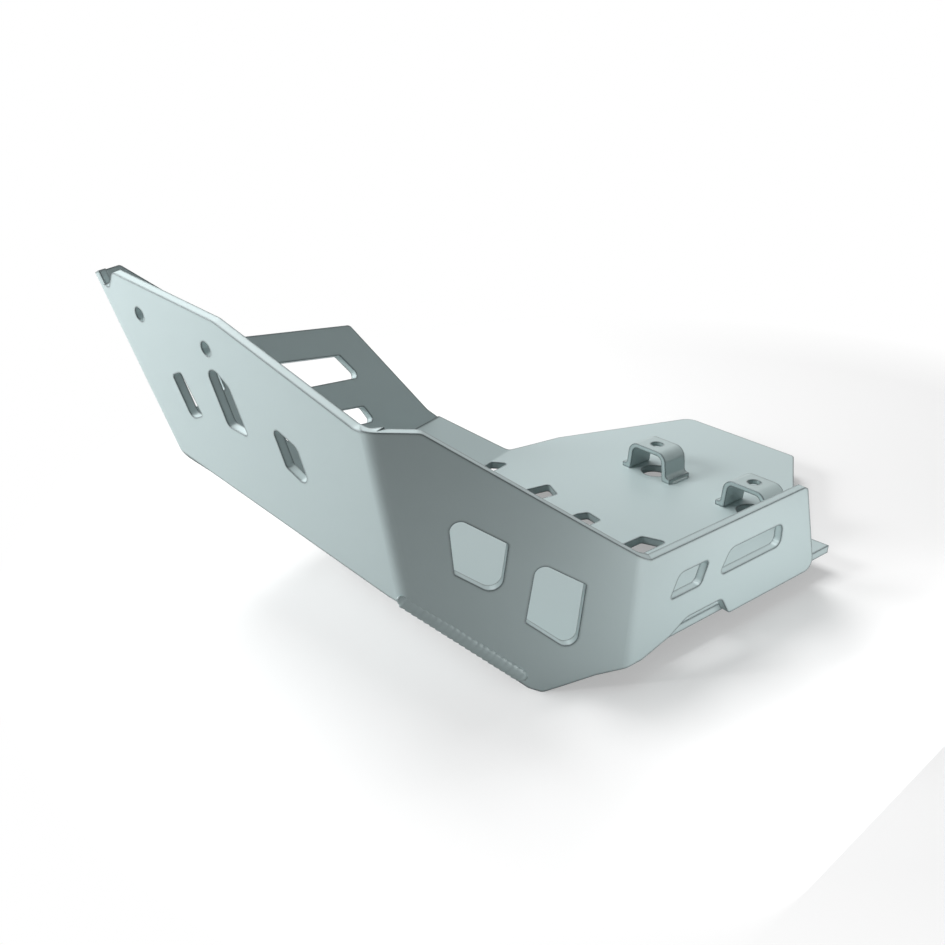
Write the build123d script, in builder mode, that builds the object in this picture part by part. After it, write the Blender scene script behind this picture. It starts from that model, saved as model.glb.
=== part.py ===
import os
from math import cos, sin, radians
from build123d import *

os.makedirs("parts", exist_ok=True)

# Motorcycle engine guard, an open tray of bent and welded sheet.
# Millimetres. Z is up, the rear wall faces +X and the left wall faces -Y. It is
# drawn from the corner of the rear and diagonal walls, with the floor's underside
# at Z = 0, and moved at the end to the origin that its bolts set.

# Sheet and bends
sheet = 4.0
bend_radius = 8.0

# Block that encloses the whole guard, from which the wall planes cut it
blank_length = 420.0
blank_height = 200.0
blank_middle = (-130.0, 70.0, 60.0)

# Directions of the four wall panels, seen from above, and their outward lean
rear_turn, rear_lean = 0.0, 2.6
diagonal_turn, diagonal_lean = -33.0, 1.3
left_turn, left_lean = -84.4, 8.45
front_turn, front_lean = -164.0, 25.0

# Distance of each wall's foot line from the rear diagonal corner
left_reach = 66.1
front_reach = 186.6

# Rear wall
rear_height = 48.4
rear_length = 129.0

# Left wall fixing holes
left_hole_dia = 6.4
left_hole_front = (-151.8, 126.6)
left_hole_rear = (-104.6, 121.8)

# Floor
floor_tip_y = 147.0
floor_right_y = 224.0
notch = (-191.0, 106.0, 0.0)
incline_angle = 24.5
chamfer_angle = 45.3
chamfer_line_y = -41.5
chamfer_skew = 2.52

# Hat brackets
bracket_sheet = 2.5
bracket_height = 16.0
bracket_width = 16.0
bracket_top = 25.0
bracket_span = 34.0
bracket_hole_dia = 6.8
bracket_y = 149.0
bracket_spacing = 65.0
rear_bracket_x = -51.8
access_hole_dia = 15.0
bracket_xs = [rear_bracket_x - bracket_spacing, rear_bracket_x]


def foot(turn_a, reach_a, turn_b, reach_b):
    """Floor level point where the foot lines of two walls meet."""
    a = radians(turn_a)
    b = radians(turn_b)
    det = cos(a) * sin(b) - sin(a) * cos(b)
    x = (reach_a * sin(b) - reach_b * sin(a)) / det
    y = (reach_b * cos(a) - reach_a * cos(b)) / det
    return (x, y, 0)


def wall(origin, turn, lean, inset=0.0):
    """Plane of a wall's outer face, or of a face inset into the sheet."""
    a = radians(turn)
    b = radians(lean)
    normal = Vector(cos(a) * cos(b), sin(a) * cos(b), -sin(b))
    start = Vector(*origin) - normal * inset
    return Plane(origin=start, x_dir=(-sin(a), cos(a), 0), z_dir=normal)


left_foot = foot(diagonal_turn, 0, left_turn, left_reach)
front_foot = foot(left_turn, left_reach, front_turn, front_reach)


def walls(inset=0.0):
    """The four wall planes, from the rear wall round to the front plate."""
    return [
        wall((0, 0, 0), rear_turn, rear_lean, inset),
        wall((0, 0, 0), diagonal_turn, diagonal_lean, inset),
        wall(left_foot, left_turn, left_lean, inset),
        wall(front_foot, front_turn, front_lean, inset),
    ]


rear_wall, diagonal_wall, left_wall, front_wall = walls()


def seam_x(panel, other, y):
    """Place along a panel, at y up its face, where it meets another panel."""
    a = panel.z_dir
    b = other.z_dir
    height = y * panel.y_dir.Z
    reach_a = a.dot(panel.origin) - a.Z * height
    reach_b = b.dot(other.origin) - b.Z * height
    det = a.X * b.Y - a.Y * b.X
    x = (reach_a * b.Y - reach_b * a.Y) / det
    y = (a.X * reach_b - b.X * reach_a) / det
    return panel.to_local_coords(Vector(x, y, height)).X


def hollow(planes, radius):
    """Solid behind all the given planes, with the bends between them rounded."""
    with BuildPart() as core:
        with Locations(blank_middle):
            Box(blank_length, blank_length, blank_height)
        for plane in planes:
            split(bisect_by=plane, keep=Keep.BOTTOM)
        bends = [
            edge for edge in edges()
            if sum(abs(plane.to_local_coords(edge @ 0.5).Z) < 0.01 for plane in planes) > 1
        ]
        fillet(bends, radius)
    return core.part


def rounded(points):
    """Closed outline through (x, y, corner radius) points."""
    Polygon(*[(x, y) for x, y, r in points], align=None)
    for x, y, r in points:
        if r > 0:
            fillet(vertices().sort_by_distance((x, y, 0))[0], r)


# Outlines of the four panels on their outer faces, x from the bend, y up.
# Each runs a little past its bends, where the next panel takes over.
past = 1.5
rear_outline = [
    (-2, 0, 0), (8, 0, 8), (25, 4.5, 8), (35, 10, 8), (58.5, 10, 4),
    (65, 0, 3), (rear_length, 0, 5), (112, rear_height, 3.5), (4, rear_height, 0),
]
diagonal_outline = [
    (2, 0, 0), (-13.5, -2.7, 0), (-27, -6.8, 10), (-35.5, -9.2, 4), (-41.5, -6.4, 6),
    (seam_x(diagonal_wall, left_wall, 38.5) - past, 38.5, 0),
    (seam_x(diagonal_wall, left_wall, 110.8) - past, 110.8, 0), (-83.3, 109.2, 5), (-8.8, 58.8, 0), (7, 48.4, 0),
]
nose_low = seam_x(left_wall, front_wall, 62)
nose_high = seam_x(left_wall, front_wall, 137.6)
left_outline = [
    (seam_x(left_wall, diagonal_wall, 37) + past, 37, 0), (-12, 37.6, 0), (nose_low + 8.7, 60.2, 2),
    (nose_low - past, 62, 0), (nose_high - past, 137.6, 0),
    (nose_high + 13.1, 134.6, 3), (nose_high + 19.1, 143, 3), (-95, 136.1, 14), (-17, 111.6, 6),
    (seam_x(left_wall, diagonal_wall, 111) + past, 111, 0),
]
front_outline = [
    (seam_x(front_wall, left_wall, 67.5) + past, 67.5, 0), (-36, 17.8, 3), (-176, 17.8, 2), (-166, 28.5, 2), (-131, 88.8, 4),
    (-56, 102.6, 6), (-4.6, 151.2, 3),
    (seam_x(front_wall, left_wall, 150.7) + past, 150.7, 0),
]

# Cut-outs, as corner points with their radii
rear_slots = [
    [(46, 34.7, 2), (42, 23.5, 3), (22, 23.5, 1.5), (26.8, 34.7, 4)],
    [(96.8, 34.8, 4), (97.6, 23.2, 3.5), (53.8, 23.2, 2.5), (60, 34.8, 5)],
]
diagonal_windows = [
    [(-74, 75.8, 4), (-50.6, 61.2, 0.6), (-53.4, 37.6, 5), (-71.4, 49.3, 0.6)],
    [(-39.4, 52.8, 4), (-19.4, 40.8, 0.6), (-22.5, 8.6, 4.5), (-43.1, 25.2, 0.6)],
]
left_slots = [
    [(-136.8, 101.6, 1.5), (-129.5, 104.8, 1.5), (-120, 86.6, 1.5), (-129.2, 82.4, 3.5)],
    [(-107.9, 111, 3.5), (-101.8, 113, 4), (-94, 107.2, 4), (-87.6, 86, 1.5), (-101, 87.2, 3)],
    [(-69.4, 97.4, 2.5), (-54.7, 91.4, 4), (-50.2, 72.8, 3.5), (-64.4, 79.4, 2)],
]
front_slots = [
    [(-41, 90.2, 3), (-115.2, 76, 2), (-122.8, 63.6, 3), (-120.8, 61.5, 1), (-46, 73.5, 3)],
    [(-55.5, 57.7, 3), (-118.2, 46, 3), (-122, 36.2, 2), (-57.5, 47, 2)],
    [(-4, 101, 3), (-33.5, 97, 3), (-33.5, 82, 2), (-10, 79.5, 3)],
]

# Wall band, one sheet bent three times, with a raked top edge
panels = [
    (rear_wall, rear_outline, rear_slots),
    (diagonal_wall, diagonal_outline, diagonal_windows),
    (left_wall, left_outline, left_slots),
    (front_wall, front_outline, front_slots),
]

outer_core = hollow(walls(0), bend_radius)
inner_core = hollow(walls(sheet), bend_radius - sheet)

with BuildPart() as profile:
    for plane, outline, slots in panels:
        with BuildSketch(plane):
            rounded(outline)
        extrude(amount=2 * sheet, both=True)

with BuildPart() as wall_band:
    add(outer_core)
    add(inner_core, mode=Mode.SUBTRACT)
    add(profile.part, mode=Mode.INTERSECT)
    for plane, outline, slots in panels:
        for slot in slots:
            with BuildSketch(plane):
                rounded(slot)
            extrude(amount=2 * sheet, both=True, mode=Mode.SUBTRACT)
    with BuildSketch(left_wall):
        with Locations(left_hole_front, left_hole_rear):
            Circle(left_hole_dia / 2)
    extrude(amount=2 * sheet, both=True, mode=Mode.SUBTRACT)

# Base plate, the floor with the front incline and the left chamfer bent up
skew = radians(chamfer_skew)
lift = radians(chamfer_angle)


def base_faces(inset=0.0):
    """Under faces of the chamfer, the floor and the incline, or faces inset from them."""
    chamfer_normal = Vector(-sin(skew) * sin(lift), -cos(skew) * sin(lift), -cos(lift))
    chamfer_start = Vector(-27, chamfer_line_y, 0) - chamfer_normal * inset
    return [
        Plane(origin=chamfer_start, x_dir=(cos(skew), -sin(skew), 0), z_dir=chamfer_normal),
        Plane(origin=(0, 0, inset), z_dir=(0, 0, -1)),
        wall(notch, front_turn, 90 - incline_angle, inset),
    ]


# Plan of the base plate, running past the walls that trim it
base_plan = [
    (3, -4, 0), (3, floor_tip_y, 0), (-23.3, 145.5, 6), (-79, floor_right_y, 4),
    (-155, floor_right_y, 8), (-185.5, 142, 6), (-189, 118, 0), (notch[0], notch[1], 6),
    (-250, 62.4, 0), (-250, -130, 0), (3, -130, 0),
]
drain_slots = [
    [(-184.6, 88.2, 1.2), (-177, 94.6, 2), (-172, 64, 2), (-177.6, 62, 1)],
    [(-142.4, 92.2, 1.5), (-130.6, 86.9, 2), (-136, 55, 2), (-149, 60, 2)],
    [(-104.9, 83.9, 1.5), (-94.4, 82.3, 2), (-94.4, 52, 2), (-107.4, 54, 2), (-107.2, 78.6, 0)],
    [(-69.3, 85, 1.5), (-57.2, 90, 2), (-57.2, 56, 2), (-69.3, 51, 2)],
]

base_outer = hollow(base_faces(0), bend_radius)
base_inner = hollow(base_faces(sheet), bend_radius - sheet)

with BuildPart() as base_plate:
    add(base_outer)
    add(base_inner, mode=Mode.SUBTRACT)
    add(inner_core, mode=Mode.INTERSECT)
    with BuildSketch(Plane.XY):
        rounded(base_plan)
    extrude(amount=120, mode=Mode.INTERSECT)
    for slot in drain_slots:
        with BuildSketch(Plane.XY):
            rounded(slot)
        extrude(amount=2 * sheet, mode=Mode.SUBTRACT)
    with BuildSketch(Plane.XY):
        with Locations(*[(x, bracket_y) for x in bracket_xs]):
            Circle(access_hole_dia / 2)
    extrude(amount=2 * sheet, mode=Mode.SUBTRACT)


def hat_bracket(x):
    """Hat section bracket standing on the floor, centred on x."""
    half_top = bracket_top / 2
    half_foot = bracket_span / 2 - 3
    top = bracket_height
    low = top - bracket_sheet
    face = Plane(origin=(x, bracket_y + bracket_width / 2, sheet), x_dir=(1, 0, 0), z_dir=(0, -1, 0))
    with BuildPart() as hat:
        with BuildSketch(face):
            rounded([
                (-bracket_span / 2, 0, 0), (-half_foot + bracket_sheet, 0, 1), (-half_top + bracket_sheet, low, 3.5),
                (half_top - bracket_sheet, low, 3.5), (half_foot - bracket_sheet, 0, 1), (bracket_span / 2, 0, 0),
                (bracket_span / 2, bracket_sheet, 0), (half_foot, bracket_sheet, 2),
                (half_top, top, 6), (-half_top, top, 6),
                (-half_foot, bracket_sheet, 2), (-bracket_span / 2, bracket_sheet, 0),
            ])
        extrude(amount=bracket_width)
        with Locations((x, bracket_y, sheet + top)):
            Cylinder(bracket_hole_dia / 2, 3 * bracket_sheet, mode=Mode.SUBTRACT)
    return hat.part


bracket_front = hat_bracket(bracket_xs[0])
bracket_rear = hat_bracket(bracket_xs[1])

# The finished guard's origin, on the bracket tops midway between their holes
to_origin = Location((bracket_spacing / 2 - rear_bracket_x, -bracket_y, -sheet - bracket_height))

base_plate.part = base_plate.part.moved(to_origin)
wall_band.part = wall_band.part.moved(to_origin)
bracket_front = bracket_front.moved(to_origin)
bracket_rear = bracket_rear.moved(to_origin)

base_plate.part.label = "base_plate"
wall_band.part.label = "wall_band"
bracket_front.label = "bracket_front"
bracket_rear.label = "bracket_rear"
export_step(base_plate.part, "parts/base_plate.step")
export_step(wall_band.part, "parts/wall_band.step")
export_step(bracket_front, "parts/bracket_front.step")
export_step(bracket_rear, "parts/bracket_rear.step")
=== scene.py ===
from math import cos, pi, radians, sin

import bpy
import bmesh
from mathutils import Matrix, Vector


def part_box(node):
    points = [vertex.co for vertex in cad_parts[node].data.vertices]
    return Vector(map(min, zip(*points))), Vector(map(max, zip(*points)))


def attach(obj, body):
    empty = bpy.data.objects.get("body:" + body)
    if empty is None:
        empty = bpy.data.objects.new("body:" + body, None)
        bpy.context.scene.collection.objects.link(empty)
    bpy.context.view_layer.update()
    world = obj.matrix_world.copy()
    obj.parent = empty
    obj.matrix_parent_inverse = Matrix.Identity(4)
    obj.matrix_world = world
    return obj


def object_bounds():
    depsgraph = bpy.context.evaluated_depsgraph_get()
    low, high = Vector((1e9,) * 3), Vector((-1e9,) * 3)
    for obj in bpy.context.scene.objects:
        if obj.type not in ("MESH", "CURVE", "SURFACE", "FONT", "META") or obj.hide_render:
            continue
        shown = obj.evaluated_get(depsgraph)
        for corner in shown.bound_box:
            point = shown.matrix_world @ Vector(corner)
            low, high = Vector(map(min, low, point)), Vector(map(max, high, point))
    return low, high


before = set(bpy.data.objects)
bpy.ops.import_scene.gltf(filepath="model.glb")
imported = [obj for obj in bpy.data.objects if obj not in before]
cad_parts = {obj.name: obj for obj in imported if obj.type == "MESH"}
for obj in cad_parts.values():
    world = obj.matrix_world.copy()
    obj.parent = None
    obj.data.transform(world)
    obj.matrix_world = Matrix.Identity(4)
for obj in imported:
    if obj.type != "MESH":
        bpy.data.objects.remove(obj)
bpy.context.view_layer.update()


# Base plate and wall band. The floor, its incline and its chamfer are one steel
# sheet folded up; the four walls are a second sheet folded round it. Both are cut
# by laser, welded together and powder coated in a satin silver-grey.

COAT_COLOUR = (0.47, 0.56, 0.565)
COAT_DARK = (0.43, 0.52, 0.525)
COAT_ROUGHNESS = 0.38
COAT_ROUGHNESS_SPREAD = 0.08
COAT_METALLIC = 0.05
COAT_SPECULAR = 0.3
SPECKLE_PER_M = 2600.0
SPECKLE_SHARE = 0.6
CLOUDS_PER_M = 14.0
ORANGE_PEEL_PER_M = 900.0
ORANGE_PEEL_DEPTH = 0.0002
ORANGE_PEEL_STRENGTH = 0.12
CUT_EDGE_ROUND = 0.0007

# Painted shade along the cut rims: the coat colour turns darker within this reach of an edge, standing
# in for the shade on the edge faces
PAINTED_RIM_SHADE_REACH = 0.0020
PAINTED_RIM_SHADE_GAIN = 5.0
PAINTED_RIM_SHADE_MOST = 0.85
PAINTED_RIM_SHADE_COLOUR = (0.10, 0.125, 0.13)


class Finish:
    """A socket of a finish, on which arithmetic adds the maths nodes."""

    def __init__(self, tree, socket):
        self.tree = tree
        self.socket = socket

    def add(self, kind, settings=None, out=0, **sockets):
        """Any node, from its type, its settings and its sockets."""
        node = self.tree.nodes.new(kind)
        for key, value in (settings or {}).items():
            setattr(node, key, value)
        for key, value in sockets.items():
            name = key.replace("_", " ")
            entry = node.inputs[int(key[1:])] if key[1:].isdigit() else node.inputs[name]
            if isinstance(value, Finish):
                self.tree.links.new(value.socket, entry)
            else:
                entry.default_value = value
        return Finish(self.tree, node.outputs[out]) if node.outputs else None

    def maths(self, operation, first, second):
        """The result of a maths node on two values or sockets."""
        return self.add("ShaderNodeMath", {"operation": operation}, n0=first, n1=second)

    def __add__(self, other):
        return self.maths("ADD", self, other)

    def __sub__(self, other):
        return self.maths("SUBTRACT", self, other)

    def __rsub__(self, other):
        return self.maths("SUBTRACT", other, self)

    def __mul__(self, other):
        return self.maths("MULTIPLY", self, other)

    def blend(self, low, high):
        """A colour that goes from low, a colour or a socket, to high as this goes from 0 to 1."""
        if not isinstance(low, Finish):
            low = (*low, 1.0)
        return self.add("ShaderNodeMix", {"data_type": "RGBA"}, out=2, n0=self, n6=low, n7=(*high, 1.0))


def new_finish(name):
    """An empty finish, as its material and a place to start from."""
    material = bpy.data.materials.new(name)
    material.use_nodes = True
    tree = material.node_tree
    tree.nodes.clear()
    place = tree.nodes.new("ShaderNodeTexCoord")
    return material, Finish(tree, place.outputs["Object"])


def powder_coat(name, light, dark, roughness, metallic):
    """Satin powder coat: fine speckle, a faint orange peel, soft edges and painted shade darkening the
    rims.
    """
    material, place = new_finish(name)
    speckle = place.add("ShaderNodeTexNoise", Vector=place, Scale=SPECKLE_PER_M, Detail=2.0)
    peel = place.add("ShaderNodeTexNoise", Vector=place, Scale=ORANGE_PEEL_PER_M, Detail=1.0)
    cloud = place.add("ShaderNodeTexNoise", Vector=place, Scale=CLOUDS_PER_M, Detail=2.0)
    edge = place.add("ShaderNodeBevel", {"samples": 6}, Radius=CUT_EDGE_ROUND)
    bump = place.add(
        "ShaderNodeBump",
        Strength=ORANGE_PEEL_STRENGTH, Distance=ORANGE_PEEL_DEPTH, Height=peel, Normal=edge,
    )
    # Painted shade: a mask from the bevel normal picks out the cut rims, to darken their colour
    rim = place.add("ShaderNodeBevel", {"samples": 8}, Radius=PAINTED_RIM_SHADE_REACH)
    face = place.add("ShaderNodeNewGeometry", out=1)
    flat = place.add("ShaderNodeVectorMath", {"operation": "DOT_PRODUCT"}, out=1, n0=rim, n1=face)
    painted_rim_shade = place.maths("MINIMUM", (1.0 - flat) * PAINTED_RIM_SHADE_GAIN, PAINTED_RIM_SHADE_MOST)
    tone = speckle * SPECKLE_SHARE + cloud * (1.0 - SPECKLE_SHARE)
    # The base colour carries the painted rim shade over the speckled coat tone
    shader = place.add(
        "ShaderNodeBsdfPrincipled",
        Base_Color=painted_rim_shade.blend(tone.blend(dark, light), PAINTED_RIM_SHADE_COLOUR),
        Metallic=metallic,
        Roughness=cloud * COAT_ROUGHNESS_SPREAD + (roughness - COAT_ROUGHNESS_SPREAD / 2),
        Specular_IOR_Level=COAT_SPECULAR,
        Normal=bump,
    )
    place.add("ShaderNodeOutputMaterial", Surface=shader)
    return material


def put_on(finish, *pieces):
    """Puts a finish on every slot of the named pieces."""
    for piece in pieces:
        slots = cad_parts[piece].data.materials
        for index in range(len(slots)):
            slots[index] = finish


coat = powder_coat("satin_powder_coat", COAT_COLOUR, COAT_DARK, COAT_ROUGHNESS, COAT_METALLIC)
put_on(coat, "base_plate", "wall_band")


# Hat brackets. Two short straps of thinner sheet, pressed into a hat section,
# welded by their flared feet over the access holes and coated with the rest.

BRACKET_COLOUR = (0.42, 0.50, 0.50)
BRACKET_DARK = (0.36, 0.44, 0.44)
BRACKET_ROUGHNESS = 0.30
BRACKET_METALLIC = 0.25
BRACKETS = ("bracket_front", "bracket_rear")

bracket_coat = powder_coat(
    "bracket_powder_coat", BRACKET_COLOUR, BRACKET_DARK, BRACKET_ROUGHNESS, BRACKET_METALLIC,
)
put_on(bracket_coat, *BRACKETS)


# Long weld seams. Arc welds with a rippled bead join the walls to the floor, its
# incline and its chamfer. The one along the chamfer is broad and lies flat on the
# outside of the diagonal wall. All are coated with the sheets.

FLOOR_TOP = -0.016
SEAM_RADIUS = 0.0022
BROAD_SEAM_RADIUS = 0.0030
BROAD_SEAM_HEIGHT = 0.38
RIPPLE_PITCH = 0.0030
RIPPLE_NECK = 0.84
BEAD_END = 0.35
RING_POINTS = 12
RINGS_PER_RIPPLE = 6
DIAGONAL_OUTWARD = (0.84, -0.54, -0.02)


def weld_bead(name, start, end, radius, pitch, finish, outward=(0, 0, 1), height=1.0):
    """A weld bead from start to end, its ripples laid one over the other.

    It stands up along outward by height times its radius, and thins at both ends.
    """
    start = Vector(start)
    end = Vector(end)
    along = (end - start).normalized()
    side = along.cross(Vector(outward)).normalized()
    over = side.cross(along) * height
    ripples = max(2, round((end - start).length / pitch))
    rings = ripples * RINGS_PER_RIPPLE
    mesh = bmesh.new()
    previous = None
    for ring in range(rings + 1):
        part = ring / rings
        swell = (ring % RINGS_PER_RIPPLE) / RINGS_PER_RIPPLE
        from_end = min(ring, rings - ring) / RINGS_PER_RIPPLE
        taper = min(1.0, BEAD_END + (1.0 - BEAD_END) * from_end)
        wide = radius * taper * (RIPPLE_NECK + (1.0 - RIPPLE_NECK) * cos(pi * swell / 2))
        centre = start.lerp(end, part)
        points = []
        for step in range(RING_POINTS):
            turn = 2 * pi * step / RING_POINTS
            around = side * wide * cos(turn) + over * wide * sin(turn)
            points.append(mesh.verts.new(centre + around))
        if previous:
            for step in range(RING_POINTS):
                after = (step + 1) % RING_POINTS
                mesh.faces.new((previous[step], previous[after], points[after], points[step]))
        else:
            mesh.faces.new(list(reversed(points)))
        previous = points
    mesh.faces.new(previous)
    bmesh.ops.recalc_face_normals(mesh, faces=mesh.faces)
    data = bpy.data.meshes.new(name)
    mesh.to_mesh(data)
    mesh.free()
    data.polygons.foreach_set("use_smooth", [True] * len(data.polygons))
    data.materials.append(finish)
    bead = bpy.data.objects.new(name, data)
    bpy.context.collection.objects.link(bead)
    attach(bead, "root")


long_seams = {
    "weld_front_plate_to_incline": ((-0.1415, -0.0715, 0.0022), (-0.1050, -0.1985, 0.0022)),
    "weld_rear_wall_to_floor": ((0.0800, -0.0260, FLOOR_TOP), (0.0800, -0.0780, FLOOR_TOP)),
    "weld_diagonal_wall_to_floor": ((0.0775, -0.1520, FLOOR_TOP), (0.0555, -0.1860, FLOOR_TOP)),
}
for seam_name, (seam_start, seam_end) in long_seams.items():
    weld_bead(seam_name, seam_start, seam_end, SEAM_RADIUS, RIPPLE_PITCH, coat)
weld_bead(
    "weld_diagonal_wall_to_chamfer", (0.0334, -0.2274, 0.0203), (0.0613, -0.1844, -0.0220),
    BROAD_SEAM_RADIUS, RIPPLE_PITCH, coat, DIAGONAL_OUTWARD, BROAD_SEAM_HEIGHT,
)


# Bracket welds. A short fillet along the outer edge of each flared foot fixes
# the brackets to the floor.

FOOT_BEAD_RADIUS = 0.0014
FOOT_BEAD_PITCH = 0.0020
FOOT_BEAD_INSET = 0.001

for bracket in BRACKETS:
    low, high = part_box(bracket)
    for side_name, foot_x in (("front", low[0]), ("rear", high[0])):
        weld_bead(
            f"weld_{bracket}_{side_name}_foot",
            (foot_x, low[1] + FOOT_BEAD_INSET, FLOOR_TOP),
            (foot_x, high[1] - FOOT_BEAD_INSET, FLOOR_TOP),
            FOOT_BEAD_RADIUS, FOOT_BEAD_PITCH, bracket_coat,
        )


# The studio floor. A sheet of white paper under the guard, at the height of its
# lowest point. It takes the soft shadows and fades to blank white further out.

PAPER = (0.93, 0.93, 0.93, 1.0)
PAPER_IN_BOUNCES = (0.40, 0.40, 0.40, 1.0)
BLANK_WHITE = (1.0, 1.0, 1.0, 1.0)
FADE_FROM = 0.22
FADE_BY = 0.36
SHADOW_LIFT = 0.35
PAPER_HALF = 3.0

paper_finish, floor_place = new_finish("studio_paper")
distance = floor_place.add(
    "ShaderNodeVectorMath", {"operation": "LENGTH"}, out=1, n0=floor_place,
)
fade = (distance - FADE_FROM) * (1.0 / (FADE_BY - FADE_FROM))
fade = fade.maths("MINIMUM", fade.maths("MAXIMUM", fade, SHADOW_LIFT), 1.0)
in_view = floor_place.add("ShaderNodeLightPath", out=0)
paper_in_view = floor_place.add("ShaderNodeBsdfDiffuse", Color=PAPER)
paper_in_bounces = floor_place.add("ShaderNodeBsdfDiffuse", Color=PAPER_IN_BOUNCES)
paper = floor_place.add("ShaderNodeMixShader", n0=in_view, n1=paper_in_bounces, n2=paper_in_view)
blank = floor_place.add("ShaderNodeEmission", Color=BLANK_WHITE, Strength=1.0)
faded_paper = floor_place.add("ShaderNodeMixShader", n0=fade * in_view, n1=paper, n2=blank)
floor_place.add("ShaderNodeOutputMaterial", Surface=faded_paper)

floor_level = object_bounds()[0][2]
floor_corners = [
    (x * PAPER_HALF, y * PAPER_HALF, floor_level) for x, y in ((-1, -1), (1, -1), (1, 1), (-1, 1))
]
floor_mesh = bpy.data.meshes.new("studio_floor")
floor_mesh.from_pydata(floor_corners, [], [(0, 1, 2, 3)])
floor_mesh.materials.append(paper_finish)
studio_floor = bpy.data.objects.new("studio_floor", floor_mesh)
bpy.context.collection.objects.link(studio_floor)


# Studio light. A white room, a softbox by the front left, a broad one overhead
# and a narrow strip on the floor, close to the rear wall.

ROOM_LEVEL = 0.14

world = bpy.data.worlds.new("studio_room")
bpy.context.scene.world = world
world.use_nodes = True
world.node_tree.nodes.clear()
room = world.node_tree.nodes.new("ShaderNodeLightPath")
camera_ray = Finish(world.node_tree, room.outputs["Is Camera Ray"])
glossy_ray = Finish(world.node_tree, room.outputs["Is Glossy Ray"])
seen = camera_ray.maths("MAXIMUM", camera_ray, glossy_ray)
background = seen.add(
    "ShaderNodeBackground", Color=BLANK_WHITE, Strength=seen * (1.0 - ROOM_LEVEL) + ROOM_LEVEL,
)
seen.add("ShaderNodeOutputWorld", Surface=background)


def softbox(name, place, aim, size, watts):
    """A soft light at a place, turned to its aim, with its width and height."""
    lamp = bpy.data.lights.new(name, "AREA")
    lamp.shape = "RECTANGLE"
    lamp.size, lamp.size_y = size
    lamp.energy = watts
    box = bpy.data.objects.new(name, lamp)
    box.location = place
    box.rotation_euler = (Vector(aim) - Vector(place)).to_track_quat("-Z", "Y").to_euler()
    box.visible_camera = False
    bpy.context.collection.objects.link(box)


softbox("softbox_left", (-0.48, -0.78, 0.40), (-0.14, -0.26, 0.06), (0.40, 0.40), 8.4)
softbox("softbox_overhead_front", (-0.85, -0.05, 1.50), (0.0, 0.0, 0.0), (1.0, 1.0), 22.0)
softbox("softbox_rear", (0.19, -0.07, -0.012), (0.085, -0.08, -0.004), (0.24, 0.03), 0.17)


# Camera, at the height and angle of the photograph.

CAMERA_LENS_MM = 44.49
CAMERA_SENSOR_MM = 36.0
CAMERA_PLACE = (0.34816, -0.45889, 0.25121)
CAMERA_ELEVATION = 24.54
CAMERA_TURN = 49.43

camera = bpy.data.cameras.new("camera")
camera.lens = CAMERA_LENS_MM
camera.sensor_width = CAMERA_SENSOR_MM
camera.clip_start = 0.01
camera_stand = bpy.data.objects.new("camera", camera)
camera_stand.location = CAMERA_PLACE
camera_stand.rotation_euler = (radians(90 - CAMERA_ELEVATION), 0, radians(CAMERA_TURN))
bpy.context.collection.objects.link(camera_stand)
bpy.context.scene.camera = camera_stand
bpy.context.scene.view_settings.view_transform = "Standard"
